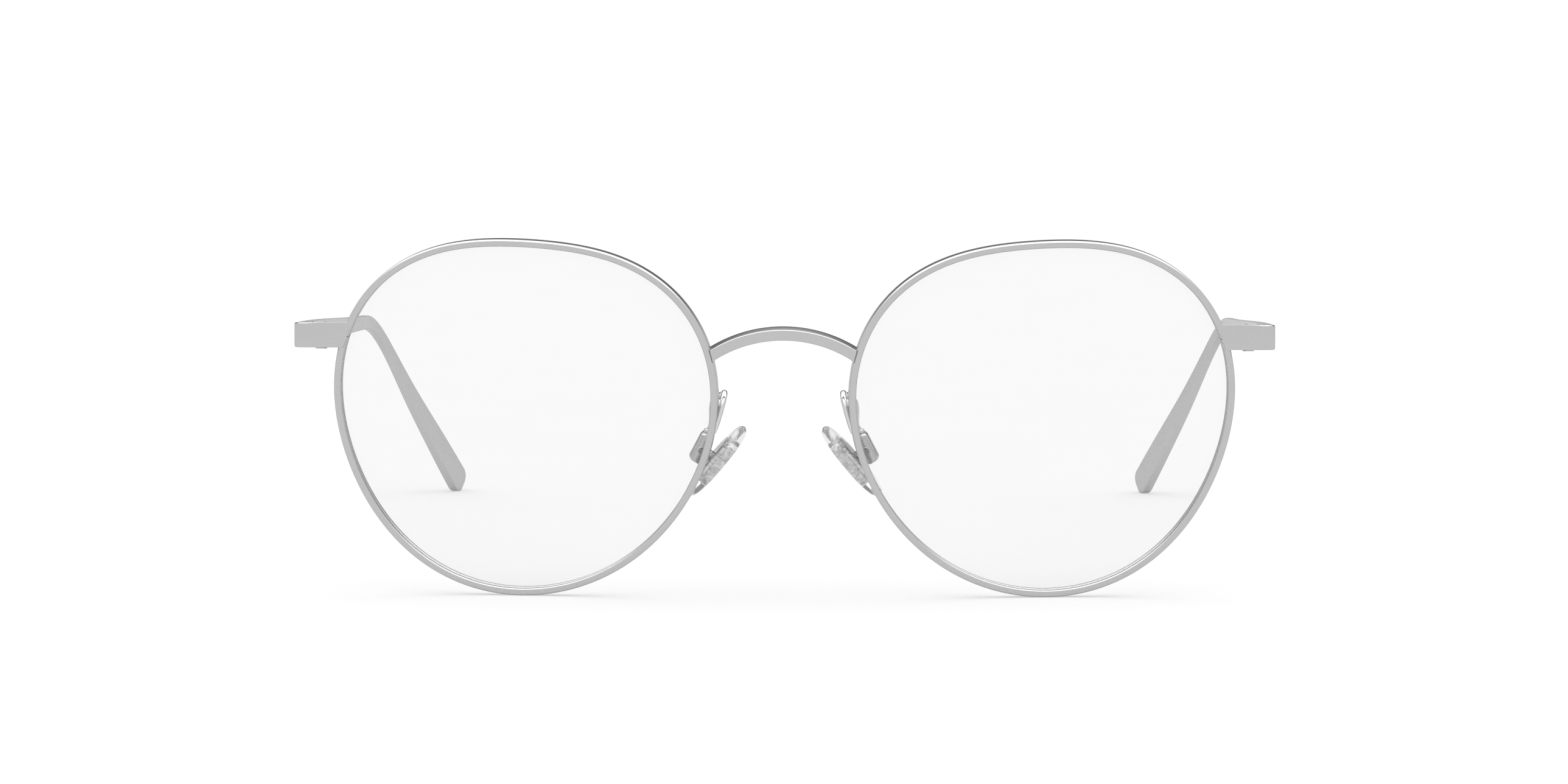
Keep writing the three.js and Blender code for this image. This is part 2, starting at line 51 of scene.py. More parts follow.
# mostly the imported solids' own sizes; lift to square bend the lens's outline away from a circle
lens = {
    "width": 50.4, "height": 46.9, "apart": 18.6, "curveRadius": 130, "thickness": 1.0,
    "bevel": 0.34, "slack": 0.04,
    "lift": 0.035, "oval": 0.04, "lean": 0.003, "skew": -0.009, "egg": 0.036, "square": -0.011,
    "wrap": 5, "tilt": 8.15,
}
endPiece = {
    "aboveLensCentre": 10.66, "width": 130.6, "height": 3.35, "thickness": 1.25, "front": -1.15,
    "cornerRadius": 1.7, "edge": 0.34, "edgeOnFront": 0.13, "edgeAtCorner": 0.68, "rimShown": 0.3,
    "innerX": 57, "hingeBack": 7,
}
rim = {
    "lip": 0.4, "wall": 0.55, "depth": 1.9, "grooveHalf": 0.5, "outerEdge": 0.2, "innerEdge": 0.14,
    "softening": 0.05, "slit": 0.12,
}
hinge = {"barrel": 1.05, "axisInset": 1.4, "height": 2.4, "leaf": 0.45, "leafLength": 3.4, "slip": 0.05,
         "weld": 0.03, "webReach": 0.5, "softening": 0.07}

armInnerX = endPiece["width"] / 2 - endPiece["thickness"]
hingeAxis = Vector((armInnerX - hinge["axisInset"], endPiece["hingeBack"], 0))


def rotateX(degrees):
    return Matrix.Rotation(math.radians(degrees), 4, "X")


def rotateZ(degrees):
    return Matrix.Rotation(math.radians(degrees), 4, "Z")


def restingFrame():
    # the fold joint says how the glasses stand on the table
    fold = joints["temple_left_fold"]
    turn = math.degrees(math.atan2(-fold["axis"][1], fold["axis"][2]))
    turned = rotateX(turn) @ Matrix.Scale(mm, 4)
    return Matrix.Translation(Vector(fold["pos_m"]) - turned @ hingeAxis) @ turned


wearing = restingFrame()


def rawOutline(angle):
    share = (1 + lens["lift"] * math.sin(angle) + lens["oval"] * math.cos(2 * angle)
             + lens["lean"] * math.sin(2 * angle) + lens["skew"] * math.cos(3 * angle)
             + lens["egg"] * math.sin(3 * angle) + lens["square"] * math.cos(4 * angle))
    return Vector((math.cos(angle), math.sin(angle))) * share


rawPoints = [rawOutline(math.radians(i / 2)) for i in range(720)]
rawLow = Vector(min(p[i] for p in rawPoints) for i in (0, 1))
rawHigh = Vector(max(p[i] for p in rawPoints) for i in (0, 1))


def outline(angle):
    # the lens's edge, seen from the front and measured from the lens's middle
    p = rawOutline(angle) - (rawLow + rawHigh) / 2
    rawSize = rawHigh - rawLow
    return Vector((p.x * lens["width"] / rawSize.x, p.y * lens["height"] / rawSize.y))


def outlineNormal(angle):
    small = 1e-4
    along = outline(angle + small) - outline(angle - small)
    return Vector((along.y, -along.x)).normalized()


def sag(p):
    # how far the lens's curve falls back from its middle
    return p.length_squared / (2 * lens["curveRadius"])


def angleAtHeight(height, outer=True):
    # where the outline passes a height, on its outer side or by the nose
    low, high = (-70, 70) if outer else (250, 110)
    for _ in range(40):
        middle = (low + high) / 2
        if outline(math.radians(middle)).y < height:
            low = middle
        else:
            high = middle
    return math.radians((low + high) / 2)


attachAngle = angleAtHeight(endPiece["aboveLensCentre"])
attach = outline(attachAngle)
frontFrame = rotateX(lens["tilt"])
eyeTurn = rotateZ(lens["wrap"])
attachDepth = (eyeTurn @ Vector((attach.x, sag(attach), attach.y))).y
eyeCentreX = (lens["apart"] + lens["width"]) / 2
eyeFrame = frontFrame @ Matrix.Translation((eyeCentreX, -attachDepth, -endPiece["aboveLensCentre"])) @ eyeTurn


def rimPoint(angle, out, back):
    edge = outline(angle)
    p = edge + outlineNormal(angle) * out
    return eyeFrame @ Vector((p.x, sag(edge) + back, p.y))


def rimX(height, out, outer):
    # how far out the rim is at a height of the wearing frame
    above = endPiece["aboveLensCentre"] + height / math.cos(math.radians(lens["tilt"]))
    return rimPoint(angleAtHeight(above, outer), out, 0).x


# A shape is a list of points and a list of faces.
def roundCorners(corners, radii, steps=4):
    points = []
    for i, corner in enumerate(corners):
        radius = radii[i] if isinstance(radii, (list, tuple)) else radii
        corner = Vector(corner)
        if not radius:
            points.append(corner)
            continue
        before = (Vector(corners[i - 1]) - corner).normalized() * radius
        after = (Vector(corners[(i + 1) % len(corners)]) - corner).normalized() * radius
        for step in range(steps + 1):
            t = step / steps
            points.append(corner + before * (1 - t) ** 2 + after * t ** 2)
    return points


def rectangle(width, height, at=(0, 0)):
    a, b = width / 2, height / 2
    return [(at[0] + x, at[1] + y) for x, y in ((-a, -b), (a, -b), (a, b), (-a, b))]


def circle(radius, sides=32, at=(0, 0)):
    turns = [2 * math.pi * i / sides for i in range(sides)]
    return [Vector((at[0] + radius * math.cos(t), at[1] + radius * math.sin(t))) for t in turns]


def loft(rings, closed=False):
    # a skin over rings of points; closed joins the last ring to the first
    count = len(rings[0])
    points = [Vector(p) for ring in rings for p in ring]
    faces = []
    for i in range(len(rings) if closed else len(rings) - 1):
        here, after = i * count, (i + 1) % len(rings) * count
        for j in range(count):
            k = (j + 1) % count
            faces.append((here + j, here + k, after + k, after + j))
    if not closed:
        faces.append(tuple(range(count)))
        faces.append(tuple(reversed(range(len(points) - count, len(points)))))
    return points, faces


def inset(outline2, distance):
    inner = []
    for i, p in enumerate(outline2):
        before = (p - outline2[i - 1]).normalized()
        after = (outline2[(i + 1) % len(outline2)] - p).normalized()
        along = (before + after).normalized()
        inner.append(p + Vector((-along.y, along.x)) * distance)
    return inner


def prism(outline2, low, high, edge=0.05):
    # an outline, anticlockwise, pulled along z, with its end edges rounded
    outline2 = [Vector(p) for p in outline2]
    rings = []
    for angle in (0, 30, 60, 90):
        turn = math.radians(angle)
        rings.append((edge * (1 - math.sin(turn)), low + edge * (1 - math.cos(turn))))
    rings += [(distance, high + low - z) for distance, z in reversed(rings)]
    return loft([[(p.x, p.y, z) for p in inset(outline2, distance)] for distance, z in rings])


def lathe(profile, sides=32, place=lambda x, y, z: (x, y, z)):
    # a profile of (radius, height) turned about the second axis; both its ends lie on that axis
    rings = []
    for i in range(sides):
        turn = 2 * math.pi * i / sides
        rings.append([place(r * math.cos(turn), y, r * math.sin(turn)) for r, y in profile])
    return loft(rings, closed=True)


def placed(shape, matrix):
    points, faces = shape
    return [matrix @ p for p in points], faces


def joined(*shapes):
    points, faces = [], []
    for shapePoints, shapeFaces in shapes:
        faces += [tuple(i + len(points) for i in face) for face in shapeFaces]
        points += shapePoints
    return points, faces


def smoothCurve(knots, steps):
    # a curve through every knot
    knots = [Vector(k) for k in knots]
    padded = [knots[0] * 2 - knots[1]] + knots + [knots[-1] * 2 - knots[-2]]
    points = []
    for i in range(len(knots) - 1):
        a, b, c, d = padded[i:i + 4]
        for step in range(steps):
            t = step / steps
            points.append(0.5 * (2 * b + (c - a) * t + (2 * a - 5 * b + 4 * c - d) * t ** 2
                                 + (3 * b - a - 3 * c + d) * t ** 3))
    return points + [knots[-1]]


def wire(path, radii, sides=18):
    # a round wire along a path, with its own radius at each point
    rings = []
    side = Vector((0, 1, 0))
    for i, p in enumerate(path):
        along = (path[min(i + 1, len(path) - 1)] - path[max(i - 1, 0)]).normalized()
        side = (side - along * side.dot(along)).normalized()
        up = along.cross(side)
        rings.append([p + (side * q.x + up * q.y) * radii[i] for q in circle(1, sides)])
    return loft(rings)


def makePiece(name, shape, finish, body, node=None, mirrored=False, sharp=32):
    points, faces = shape
    mesh = bpy.data.meshes.new(name)
    flip = Matrix.Scale(-1, 4, (1, 0, 0)) if mirrored else Matrix()
    mesh.from_pydata([wearing @ (flip @ Vector(p)) for p in points], [], faces)
    shell = bmesh.new()
    shell.from_mesh(mesh)
    sameSpot = 1e-8
    bmesh.ops.remove_doubles(shell, verts=shell.verts, dist=sameSpot)
    bmesh.ops.recalc_face_normals(shell, faces=shell.faces)
    shell.to_mesh(mesh)
    shell.free()
    mesh.shade_smooth()
    mesh.set_sharp_from_angle(angle=math.radians(sharp))
    mesh.materials.append(finish)
    piece = bpy.data.objects.new(name, mesh)
    bpy.context.collection.objects.link(piece)
    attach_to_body(piece, body)
    if node:
        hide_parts(node)
    return piece


def makePair(name, shape, finish, body="front", node=True, sharp=32):
    # body "temple" or "pad" means the one on the piece's own side
    for side in ("left", "right"):
        own = body if body == "front" else body + "_" + side
        makePiece(name + "_" + side + "_look", shape, finish, own,
                  name + "_" + side if node else None, side == "right", sharp)


def grey(level):
    return (level, level, level)


class Value:
    # a shader socket that can be used in sums
    def __init__(self, finish, socket):
        self.finish = finish
        self.socket = socket

    def math(self, operation, first, second):
        return self.finish.math(operation, first, second)

    def __add__(self, other):
        return self.math("ADD", self, other)

    def __radd__(self, other):
        return self.math("ADD", other, self)

    def __sub__(self, other):
        return self.math("SUBTRACT", self, other)

    def __rsub__(self, other):
        return self.math("SUBTRACT", other, self)

    def __mul__(self, other):
        return self.math("MULTIPLY", self, other)

    def __rmul__(self, other):
        return self.math("MULTIPLY", other, self)


class Finish:
    def __init__(self, name, owner=None):
        self.material = owner or bpy.data.materials.new(name)
        self.material.use_nodes = True
        self.tree = self.material.node_tree
        self.tree.nodes.clear()

    def node(self, kind, settings=None, sockets=None, out=0):
        # settings go first, then the values or links of its sockets
        made = self.tree.nodes.new(kind)
        for key, setting in (settings or {}).items():
            setattr(made, key, setting)
        for key, value in (sockets or {}).items():
            if isinstance(value, Value):
                self.tree.links.new(value.socket, made.inputs[key])
            else:
                made.inputs[key].default_value = value
        return Value(self, made.outputs[out]) if len(made.outputs) else None

    def math(self, operation, first, second):
        return self.node("ShaderNodeMath", {"operation": operation}, {0: first, 1: second})

    def grain(self, scale, detail=2, stretch=(1, 1, 1), roughness=0.5):
        # noise in the piece's own space; scale is in lumps per metre
        place = self.node("ShaderNodeTexCoord", out="Object")
        place = self.node("ShaderNodeMapping", sockets={"Vector": place, "Scale": stretch})
        return self.node("ShaderNodeTexNoise", sockets={
            "Vector": place, "Scale": scale, "Detail": detail, "Roughness": roughness})

    def tint(self, dark, light, amount):
        return self.node("ShaderNodeMix", {"data_type": "RGBA"},
                         {0: amount, 6: (*dark, 1), 7: (*light, 1)}, out=2)

    def relief(self, height, depth, strength=1.0):
        return self.node("ShaderNodeBump", sockets={
            "Height": height, "Distance": depth, "Strength": strength})

    def surface(self, sockets):
        shader = self.node("ShaderNodeBsdfPrincipled", sockets=sockets)
        self.node("ShaderNodeOutputMaterial", sockets={"Surface": shader})
        return self.material


satin = {"dark": grey(0.475), "light": grey(0.54), "roughness": 0.27, "uneven": 0.1,
         "grainDepth": 0.0000009, "edgeTint": (*grey(0.78), 1), "cloudsPerMetre": 420, "grainsPerMetre": 5200,
         "linesPerMetre": 14000}


def satinMetal(name, stretch=(1, 1, 1)):
    # fine blasted grain, drawn out along y where the metal was brushed
    finish = Finish(name)
    cloud = finish.grain(satin["cloudsPerMetre"], 3)
    fine = finish.grain(satin["grainsPerMetre"], 3, stretch, 0.65)
    lines = finish.grain(satin["linesPerMetre"], 2, stretch)
    level = cloud * 0.45 + fine * 0.55
    return finish.surface({
        "Base Color": finish.tint(satin["dark"], satin["light"], level),
        "Metallic": 1.0,
        "Specular Tint": satin["edgeTint"],
        "Roughness": satin["roughness"] + (level - 0.5) * satin["uneven"],
        "Normal": finish.relief(fine * 0.5 + lines * 0.5, satin["grainDepth"]),
    })


polished = {"dark": grey(0.56), "light": grey(0.70), "roughness": 0.1, "uneven": 0.1,
            "rippleDepth": 0.000003, "cloudsPerMetre": 700, "grainsPerMetre": 6000}


def polishedMetal(name):
    # bent wire, bright with a slight ripple
    finish = Finish(name)
    cloud = finish.grain(polished["cloudsPerMetre"], 2)
    fine = finish.grain(polished["grainsPerMetre"], 2)
    return finish.surface({
        "Base Color": finish.tint(polished["dark"], polished["light"], cloud * 0.6 + fine * 0.4),
        "Metallic": 1.0,
        "Roughness": polished["roughness"] + (cloud - 0.4) * polished["uneven"],
        "Normal": finish.relief(cloud, polished["rippleDepth"]),
    })


cast = {"dark": grey(0.42), "light": grey(0.62), "contrast": 1, "roughness": 0.24, "uneven": 0.3,
        "lumpDepth": 0.00002, "lumpsPerMetre": 3200, "cloudsPerMetre": 900}
# the core: random mottling pushed to strong contrast and a bright light shade, partly real tone and partly
# painted glints and dark streaks
castInsidePaintedGlints = {**cast, "dark": grey(0.2), "light": grey(0.86), "contrast": 2.2, "lumpDepth": 0.00005}


def castMetal(name, look):
    # small tumbled castings, a little lumpy; with a high contrast the random mottling also paints glints and
    # dark streaks
    finish = Finish(name)
    lumps = finish.grain(look["lumpsPerMetre"], 2)
    cloud = finish.grain(look["cloudsPerMetre"], 2)
    level = (lumps * 0.6 + cloud * 0.4 - 0.5) * look["contrast"] + 0.5
    return finish.surface({
        "Base Color": finish.tint(look["dark"], look["light"], level),
        "Metallic": 1.0,
        "Roughness": look["roughness"] + (cloud - 0.5) * look["uneven"],
        "Normal": finish.relief(lumps, look["lumpDepth"]),
    })


turned = {"dark": (0.36, 0.365, 0.37), "light": (0.56, 0.565, 0.57), "roughness": 0.3, "uneven": 0.2,
          "markDepth": 0.000002, "wearPerMetre": 2600, "marksPerMetre": 9000}


def turnedSteel(name):
    # small screws with worn patches and fine tool marks
    finish = Finish(name)
    wear = finish.grain(turned["wearPerMetre"], 3)
    fine = finish.grain(turned["marksPerMetre"], 2)
    return finish.surface({
        "Base Color": finish.tint(turned["dark"], turned["light"], wear),
        "Metallic": 1.0,
        "Roughness": turned["roughness"] + (fine - 0.5) * turned["uneven"],
        "Normal": finish.relief(fine, turned["markDepth"]),
    })


clearLens = {"dark": grey(0.32), "light": grey(0.38), "film": 0.07, "shine": 0.15, "ior": 1.5,
             "faceOn": 0.04, "roughness": 0.02, "smear": 0.03, "smearFilm": 0.006, "smearsPerMetre": 60}


def lensPlastic(name):
    # a thin grey film that shines more towards its edges
    finish = Finish(name)
    smear = finish.grain(clearLens["smearsPerMetre"], 3)
    edge = finish.node("ShaderNodeFresnel", sockets={"IOR": clearLens["ior"]})
    return finish.surface({
        "Base Color": finish.tint(clearLens["dark"], clearLens["light"], smear),
        "Roughness": clearLens["roughness"] + smear * clearLens["smear"],
        "IOR": clearLens["ior"],
        "Alpha": (clearLens["film"] + (edge - clearLens["faceOn"]) * clearLens["shine"]
                  + smear * clearLens["smearFilm"]),
    })


silicone = {"dark": grey(0.86), "light": grey(0.95), "roughness": 0.08, "uneven": 0.08, "ior": 1.26,
            "transmission": 0.84, "skinDepth": 0.00001, "skinStrength": 0.5, "hazePerMetre": 900,
            "skinPerMetre": 2600}


def padSilicone(name):
    # clear and slightly hazy, with a moulded skin
    finish = Finish(name)
    haze = finish.grain(silicone["hazePerMetre"], 3)
    skin = finish.grain(silicone["skinPerMetre"], 2)
    return finish.surface({
        "Base Color": finish.tint(silicone["dark"], silicone["light"], haze),
        "Roughness": silicone["roughness"] + (haze - 0.5) * silicone["uneven"],
        "IOR": silicone["ior"],
        "Transmission Weight": silicone["transmission"],
        "Normal": finish.relief(skin, silicone["skinDepth"], silicone["skinStrength"]),
    })


satinSilver = satinMetal("satin silver")
brushedSilver = satinMetal("satin silver, brushed along", (1, 0.08, 1))
brightSilver = polishedMetal("polished silver")
screwSteel = turnedSteel("turned steel")
castSilver = castMetal("cast silver", cast)
# the core's finish paints glints and dark streaks into its colour, on top of its random mottling
castCorePaintedGlints = castMetal("cast silver core, painted glints", castInsidePaintedGlints)
lensClear = lensPlastic("clear lens")
padClear = padSilicone("clear silicone")
print("finishes made")


def rimShape():
    # one grooved section swept round the lens, open at the slit
    inner, outer, half = -rim["lip"], rim["wall"], rim["depth"] / 2
    bevel, lipBevel = rim["outerEdge"], rim["innerEdge"]
    corners = [
        (inner, lipBevel - half), (inner + lipBevel, -half), (outer - bevel, -half), (outer, bevel - half),
        (outer, half - bevel), (outer - bevel, half), (inner + lipBevel, half), (inner, half - lipBevel),
        (inner, rim["grooveHalf"]), (0, 0), (inner, -rim["grooveHalf"]),
    ]
    soft = rim["softening"]
    section = roundCorners(corners, [soft] * 9 + [0, soft], 3)
    gap = rim["slit"] / 2 / attach.length
    steps = 220
    angles = [attachAngle + gap + (2 * math.pi - 2 * gap) * i / steps for i in range(steps + 1)]
    return loft([[rimPoint(angle, p.x, p.y) for p in section] for angle in angles])


def lensShape():
    half, edge = lens["thickness"] / 2, -lens["slack"]
    steps, circles = 160, 14
    shares = [i / circles for i in range(1, circles)]

    def ring(share, depth):
        points = []
        for i in range(steps):
            p = outline(2 * math.pi * i / steps) * share
            points.append(eyeFrame @ Vector((p.x, sag(p) + depth, p.y)))
        return points

    def edgeRing(out, depth):
        return [rimPoint(2 * math.pi * i / steps, out, depth) for i in range(steps)]

    front = [ring(share, -half) for share in shares] + [edgeRing(edge - lens["bevel"], -half)]
    back = [edgeRing(edge - lens["bevel"], half)] + [ring(share, half) for share in reversed(shares)]
    return loft(front + [edgeRing(edge, 0)] + back)


makePair("rim", rimShape(), satinSilver)
makePair("lens", lensShape(), lensClear)
print("rims and lenses made")

bridge = {"rise": 3.1, "endsAboveLensCentre": 8.65, "height": 1.5, "depth": 2.1, "lean": 6, "edge": 0.2,
          "forward": 0.3, "intoRim": 0.3, "flare": 0.1, "flareLength": 0.9}


def bridgeShape():
    # an arch of rectangular bar that leans forward and ends just inside each rim
    endPoint = outline(angleAtHeight(bridge["endsAboveLensCentre"], False))
    end = eyeTurn @ Vector((endPoint.x, sag(endPoint), endPoint.y))
    reach = eyeCentreX + end.x
    base = Vector((0, end.y - attachDepth, bridge["endsAboveLensCentre"] - endPiece["aboveLensCentre"]))
    radius = (reach ** 2 + bridge["rise"] ** 2) / (2 * bridge["rise"])
    halfTurn = math.asin(reach / radius)
    lean = math.radians(bridge["lean"])
    section = roundCorners(rectangle(bridge["height"], bridge["depth"]), bridge["edge"], 5)
    steps = 90
    rings = []
    for i in range(steps + 1):
        turn = (2 * i / steps - 1) * halfTurn
        toEnd = radius * (halfTurn - abs(turn))
        flare = 1 + bridge["flare"] * max(0, 1 - toEnd / bridge["flareLength"]) ** 2
        ring = []
        for p in section:
            up = (p.x * math.cos(lean) + p.y * math.sin(lean)) * flare
            back = (p.y * math.cos(lean) - p.x * math.sin(lean)) * flare
            r = radius + up
            rise = (math.cos(turn) - math.cos(halfTurn)) * radius / bridge["rise"]
            q = frontFrame @ Vector((r * math.sin(turn), base.y + back - bridge["forward"] * rise,
                                     base.z + r * math.cos(turn) - radius + bridge["rise"]))
            most = rimX(q.z, rim["wall"] - bridge["intoRim"], False)
            q.x = max(-most, min(most, q.x))
            ring.append(q)
        rings.append(ring)
    return loft(rings)


makePiece("bridge_look", bridgeShape(), satinSilver, "front", "bridge")
print("bridge made")


def endPieceShape():
    # a plate that starts on the rim and turns back round the corner
    thickness, radius = endPiece["thickness"], endPiece["cornerRadius"]
    front = endPiece["front"]
    outerX = endPiece["width"] / 2
    cornerX, cornerY = outerX - radius, front + radius
    middle = radius - thickness / 2
    startX, onFront, atCorner = endPiece["innerX"], endPiece["edgeOnFront"], endPiece["edgeAtCorner"]
    path = []  # the plate's middle, the way out of its front face and its edge rounding
    for i in range(13):
        x = startX + (cornerX - startX) * i / 12
        edge = endPiece["edge"] * (onFront + (atCorner - onFront) * (i / 12) ** 8)
        path.append((Vector((x, front + thickness / 2)), Vector((0, -1)), edge))
    for i in range(1, 17):
        turn = math.radians(-90 + 90 * i / 16)
        out = Vector((math.cos(turn), math.sin(turn)))
        edge = endPiece["edge"] * (atCorner + (1 - atCorner) * i / 16)
        path.append((Vector((cornerX, cornerY)) + out * middle, out, edge))
    for i in range(1, 9):
        y = cornerY + (hingeAxis.y - cornerY) * i / 8
        path.append((Vector((outerX - thickness / 2, y)), Vector((1, 0)), endPiece["edge"]))
    rings = []
    for p, out, edge in path:
        ring = []
        for q in roundCorners(rectangle(thickness, endPiece["height"]), edge, 5):
            place = p + out * q.x
            least = rimX(q.y, endPiece["rimShown"] - rim["lip"], True)
            ring.append(Vector((max(place.x, least), place.y, q.y)))
        rings.append(ring)
    return loft(rings)


makePair("end_piece", endPieceShape(), satinSilver)

closingScrew = {"shaft": 0.5, "head": 0.8, "headHeight": 0.45, "slotWidth": 0.22, "slotDepth": 0.2}
hingeScrew = {**closingScrew, "shaft": 0.55, "head": 0.95, "headHeight": 0.4}


def screwShape(size, bottom, top):
    # a shaft along z and a slotted head; the head's two halves stand beside the slot
    floor = top + size["headHeight"] - size["slotDepth"]
    overlap, softening = 0.05, 0.06
    halfMoon = []
    start = math.asin(size["slotWidth"] / 2 / size["head"])
    for i in range(17):
        turn = start + (math.pi - 2 * start) * i / 16
        halfMoon.append(Vector((size["head"] * math.cos(turn), size["head"] * math.sin(turn))))
    moon = prism(halfMoon, floor - overlap, top + size["headHeight"], softening)
    return joined(
        prism(circle(size["shaft"], 24), bottom, top + overlap, softening),
        prism(circle(size["head"] - 0.01, 40), top, floor, 0.03),
        moon,
        placed(moon, rotateZ(180)),
    )


closing = {"width": 4.2, "depth": 2.1, "height": 1.25, "slit": 0.25, "screwOut": 2.95, "intoRim": 0.25,
           "edge": 0.3, "softening": 0.08, "slip": 0.03}
rimAttach = rimPoint(attachAngle, 0, 0)
closingY = endPiece["front"] + endPiece["thickness"] + closing["slip"] + closing["depth"] / 2
closingScrewAt = Vector((rimAttach.x + rim["wall"] + closing["screwOut"], closingY, 0))


def closingBlockShape(side):
    # side 1 is the upper block, -1 the lower
    low = closing["slit"] / 2
    right = rimAttach.x + rim["wall"] + closing["width"]
    left = rimX(side * (low + closing["height"] / 2), rim["wall"] - closing["intoRim"], True)
    plan = rectangle(right - left, closing["depth"], ((left + right) / 2, closingY))
    section = roundCorners(plan, closing["edge"])
    block = prism(section, low, low + closing["height"], closing["softening"])
    return block if side > 0 else placed(block, Matrix.Scale(-1, 4, (0, 0, 1)))


makePair("closing_block_upper", closingBlockShape(1), satinSilver)
makePair("closing_block_lower", closingBlockShape(-1), satinSilver)
closingReach = closing["slit"] / 2 + closing["height"]
closingScrewShape = screwShape(closingScrew, -closingReach, closingReach + closing["slip"])
makePair("closing_screw", placed(closingScrewShape, Matrix.Translation(closingScrewAt) @ rotateX(180)),
         screwSteel)
print("end pieces and closing blocks made")


def hingeLeafShape(towards, knuckles):
    # a plate on the metal's inner face, with a web from it to each knuckle
    plateX = armInnerX - hinge["weld"] - hinge["leaf"] / 2
    near = hinge["barrel"] + hinge["slip"]
    plateY = hingeAxis.y + towards * (near + hinge["leafLength"] / 2)
    half = hinge["height"] / 2
    plate = roundCorners(rectangle(hinge["leaf"], hinge["leafLength"], (plateX, plateY)), 0.12)
    shapes = [prism(plate, -half, half, 0.12)]
    webLength = near + hinge["webReach"]
    for low, high in knuckles:
        shapes.append(prism(circle(hinge["barrel"], 40, hingeAxis), low, high, hinge["softening"]))
        webY = hingeAxis.y + towards * webLength / 2
        web = rectangle(hinge["leaf"] * 1.6, webLength, (plateX - hinge["leaf"] * 0.3, webY))
        shapes.append(prism(roundCorners(web, 0.1), low, high, hinge["softening"]))
    return joined(*shapes)


leafEnd = hinge["height"] / 2
knuckle = leafEnd / 3
outerKnuckles = [(-leafEnd, -knuckle - hinge["slip"]), (knuckle + hinge["slip"], leafEnd)]
makePair("hinge_front_leaf", hingeLeafShape(-1, outerKnuckles), brightSilver)
middleKnuckle = [(-knuckle, knuckle)]
makePair("hinge_temple_leaf", hingeLeafShape(1, middleKnuckle), brightSilver, "temple")
hingeScrewShape = screwShape(hingeScrew, -leafEnd, leafEnd + hinge["slip"])
makePair("hinge_screw", placed(hingeScrewShape, Matrix.Translation(hingeAxis)), screwSteel)
print("hinges made")

temple = {
    "length": 145, "straight": 89.5, "bendLength": 33, "bendDrop": 44, "splay": 0.4, "tipIn": 13,
    "splayEnds": (-15, 5), "tipTurns": (-5, 8), "tipGain": 1.35,
    "heightAtBend": 2.1, "thicknessAtBend": 1, "heightAtTip": 4, "thicknessAtTip": 1.5, "edge": 0.16,
}


def smooth(t):
    return t * t * (3 - 2 * t)


def share(x, low, high):
    # how far x is from low to high, 0 to 1
    return max(0, min(1, (x - low) / (high - low)))


def mixed(a, b, t):
    return a + (b - a) * t


def templeDirection(s):
    # the way the temple runs at a distance s from the hinge
    straight, bendLength = temple["straight"], temple["bendLength"]
    down = math.radians(temple["bendDrop"]) * smooth(share(s, straight, straight + bendLength))
    splayFrom, splayTo = temple["splayEnds"]
    tipFrom, tipTo = temple["tipTurns"]
    turnOut = temple["splay"] / straight * (1 - smooth(share(s, straight + splayFrom, straight + splayTo)))
    turnedIn = smooth(share(s, straight + tipFrom, straight + bendLength + tipTo))
    turnIn = temple["tipGain"] * temple["tipIn"] / (temple["length"] - straight) * turnedIn
    side = math.atan(turnOut - turnIn)
    return Vector((math.sin(side), math.cos(side) * math.cos(down), -math.cos(side) * math.sin(down)))


def templeShape():
    # a flat bar swept along the temple, thinnest at the bend, with a round tip
    length, straight = temple["length"], temple["straight"]
    roundFrom = length - temple["heightAtTip"] / 2
    coarse, fine, fineFrom = 2.5, 0.75, 80
    stations = [i * coarse for i in range(int(fineFrom / coarse))]
    stations += [fineFrom + i * fine for i in range(math.ceil((roundFrom - fineFrom) / fine))]
    stations += [roundFrom + (length - roundFrom) * math.sin(math.pi / 2 * i / 16) for i in range(16)]
    stations.append(length - 0.001)
    p = Vector((endPiece["width"] / 2 - endPiece["thickness"] / 2, hingeAxis.y + hinge["slip"], 0))
    walked, longestStride = 0, 0.5
    rings = []
    for s in stations:
        strides = max(1, math.ceil((s - walked) / longestStride))
        stride = (s - walked) / strides
        for i in range(strides):
            p = p + templeDirection(walked + stride * (i + 0.5)) * stride
        walked = s
        along = templeDirection(s)
        inwards = Vector((-along.y, along.x, 0)).normalized()
        up = along.cross(inwards)
        toBend = smooth(share(s, 5, straight))
        toTip = smooth(share(s, straight + temple["bendLength"] * 0.6, roundFrom + 3))
        thickness = mixed(endPiece["thickness"], temple["thicknessAtBend"], toBend)
        thickness = mixed(thickness, temple["thicknessAtTip"], toTip)
        height = mixed(endPiece["height"], temple["heightAtBend"], toBend)
        height = mixed(height, temple["heightAtTip"], toTip)
        end = math.sqrt(1 - share(s, roundFrom, length) ** 2)
        thickness *= 0.4 + 0.6 * end
        height *= end
        corner = min(temple["edge"], height * 0.3)
        points = roundCorners(rectangle(thickness, height), corner, 4)
        rings.append([p + inwards * q.x + up * q.y for q in points])
    return loft(rings)


makePair("temple", templeShape(), brushedSilver, "temple")
print("temples made")

pad = {"length": 11.9, "width": 7, "thickness": 2.1, "slope": 40, "splay": 3, "x": 9.05, "below": 6.4,
       "behind": 4.4, "pivotOut": 2.5, "fullness": 0.42, "crown": 0.06}
holder = {"length": 4.1, "abovePivot": 2.25, "towardsPad": 0.6, "pastPivot": 1.2, "depth": 2.6, "sheet": 0.4,
          "corner": 0.55, "bend": 1.0, "slope": 28, "lidWidth": 1.05, "lidAt": 1.12}
insert = {"length": 6.6, "width": 4.2, "thickness": 0.5, "fill": 0.3, "postWidth": 1.3, "pastPivot": 0.55,
          "lip": 0.3, "lipHeight": 0.45, "corner": 1.3, "foot": 1.25, "footHeight": 0.28, "stud": 0.5,
          "studHeight": 0.35, "studOut": 2.4, "softening": 0.08}
rimAtNose = outline(angleAtHeight(0, False))
rimBackY = (eyeTurn @ Vector((rimAtNose.x, sag(rimAtNose), rimAtNose.y))).y - attachDepth + rim["depth"] / 2


def byNose(x, above, behind):
    # a point by its height over the lens's centre and its distance behind the rim
    return Vector((x, rimBackY + behind, above - endPiece["aboveLensCentre"]))


